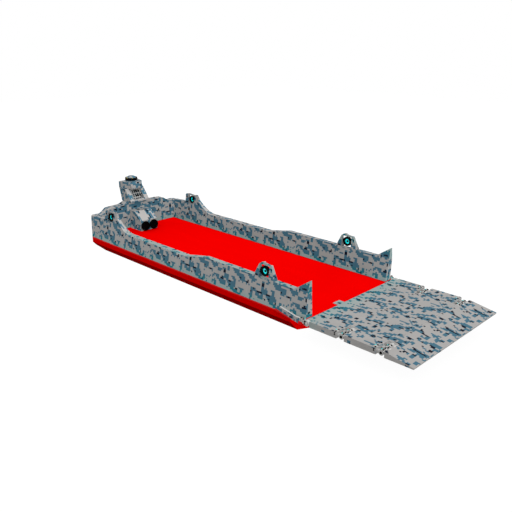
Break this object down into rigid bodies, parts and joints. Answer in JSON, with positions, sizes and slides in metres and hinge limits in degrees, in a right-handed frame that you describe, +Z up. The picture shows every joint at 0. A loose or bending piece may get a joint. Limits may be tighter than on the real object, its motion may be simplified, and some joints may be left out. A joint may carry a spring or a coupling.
{
  "type": "military landing craft",
  "caption": "Flat-bottomed landing craft with an open well deck, thick bulwarks, tilting lamps, a stern control tower and a folding bow ramp.",
  "frame": {"origin": "bottom centre of the craft's box, under the middle of the length over the lowered ramp, on the flat of the bottom", "axes": "+X to the bow, +Y to port, +Z up"},
  "size_m": [29.8, 9.04, 5.4706],
  "materials": {
    "camo_paint": "matt",
    "hull_red": "matt",
    "deck_red": "matt",
    "black_paint": "satin",
    "lamp_glass": "gloss",
    "window_glass": "gloss",
    "pin_steel": "satin",
    "engine_iron": "matt",
    "bronze": "satin"
  },
  "bodies": {
    "craft": {"hull": "hull_red", "deck": "deck_red", "bow_sill": "camo_paint", "hinge_pin_main": "pin_steel", "wall_starboard": "camo_paint", "wall_port": "camo_paint", "lamp_cradle_aft_starboard": "camo_paint", "lamp_cradle_aft_port": "camo_paint", "lamp_cradle_fore_starboard": "camo_paint", "lamp_cradle_fore_port": "camo_paint", "hinge_cheek_starboard": "camo_paint", "hinge_cheek_port": "camo_paint", "stern_wall": "camo_paint", "engine_casing": "camo_paint", "engine_block": "engine_iron", "fan_drum_starboard": "black_paint", "fan_drum_port": "black_paint", "tower_trunk": "camo_paint", "tower_head": "camo_paint", "tower_pane": "window_glass", "helm_console": "black_paint", "beacon_ring": "black_paint", "shaft_strut_starboard": "hull_red", "shaft_strut_port": "hull_red"},
    "ramp_inner": {"ramp_inner": "camo_paint", "hinge_pin_first_fold_starboard": "pin_steel", "hinge_pin_first_fold_port": "pin_steel"},
    "ramp_middle": {"ramp_middle": "camo_paint", "hinge_pin_second_fold_starboard": "pin_steel", "hinge_pin_second_fold_port": "pin_steel"},
    "ramp_toe": {"ramp_toe": "camo_paint"},
    "beacon_dome": {"beacon_dome": "camo_paint"},
    "lamp_aft_starboard": {"lamp_drum_aft_starboard": "black_paint", "lamp_lens_aft_starboard": "lamp_glass"},
    "lamp_aft_port": {"lamp_drum_aft_port": "black_paint", "lamp_lens_aft_port": "lamp_glass"},
    "lamp_fore_starboard": {"lamp_drum_fore_starboard": "black_paint", "lamp_lens_fore_starboard": "lamp_glass"},
    "lamp_fore_port": {"lamp_drum_fore_port": "black_paint", "lamp_lens_fore_port": "lamp_glass"},
    "propeller_starboard": {"propeller_starboard": "bronze"},
    "rudder_starboard": {"rudder_starboard": "hull_red"},
    "propeller_port": {"propeller_port": "bronze"},
    "rudder_port": {"rudder_port": "hull_red"}
  },
  "joints": [
    {"name": "ramp_hinge", "type": "hinge", "parent": "craft", "child": "ramp_inner", "pos_m": [8.3, 0, 1.27], "axis": [0, -1, 0], "range_deg": [-12, 88]},
    {"name": "ramp_first_fold", "type": "hinge", "parent": "ramp_inner", "child": "ramp_middle", "pos_m": [10.565, 0, 1.24], "axis": [0, -1, 0], "range_deg": [-15, 0]},
    {"name": "ramp_second_fold", "type": "hinge", "parent": "ramp_middle", "child": "ramp_toe", "pos_m": [13, 0, 1.24], "axis": [0, -1, 0], "range_deg": [-15, 0]},
    {"name": "lamp_tilt_aft_starboard", "type": "hinge", "parent": "craft", "child": "lamp_aft_starboard", "pos_m": [-11.4, -3.94, 3.275], "axis": [1, 0, 0], "range_deg": [-45, 45]},
    {"name": "lamp_tilt_aft_port", "type": "hinge", "parent": "craft", "child": "lamp_aft_port", "pos_m": [-11.4, 3.94, 3.275], "axis": [1, 0, 0], "range_deg": [-45, 45]},
    {"name": "lamp_tilt_fore_starboard", "type": "hinge", "parent": "craft", "child": "lamp_fore_starboard", "pos_m": [4.7, -3.94, 3.225], "axis": [1, 0, 0], "range_deg": [-45, 45]},
    {"name": "lamp_tilt_fore_port", "type": "hinge", "parent": "craft", "child": "lamp_fore_port", "pos_m": [4.7, 3.94, 3.225], "axis": [1, 0, 0], "range_deg": [-45, 45]},
    {"name": "beacon_turn", "type": "hinge", "parent": "craft", "child": "beacon_dome", "pos_m": [-14.4, 0, 5.2], "axis": [0, 0, 1], "continuous": true},
    {"name": "propeller_turn_starboard", "type": "hinge", "parent": "craft", "child": "propeller_starboard", "pos_m": [-13.35, -2.2, 0.56], "axis": [1, 0, 0], "continuous": true},
    {"name": "propeller_turn_port", "type": "hinge", "parent": "craft", "child": "propeller_port", "pos_m": [-13.35, 2.2, 0.56], "axis": [1, 0, 0], "continuous": true},
    {"name": "rudder_turn_starboard", "type": "hinge", "parent": "craft", "child": "rudder_starboard", "pos_m": [-13.88, -2.2, 0.56], "axis": [0, 0, 1], "range_deg": [-35, 35]},
    {"name": "rudder_turn_port", "type": "hinge", "parent": "craft", "child": "rudder_port", "pos_m": [-13.88, 2.2, 0.56], "axis": [0, 0, 1], "range_deg": [-35, 35]}
  ]
}
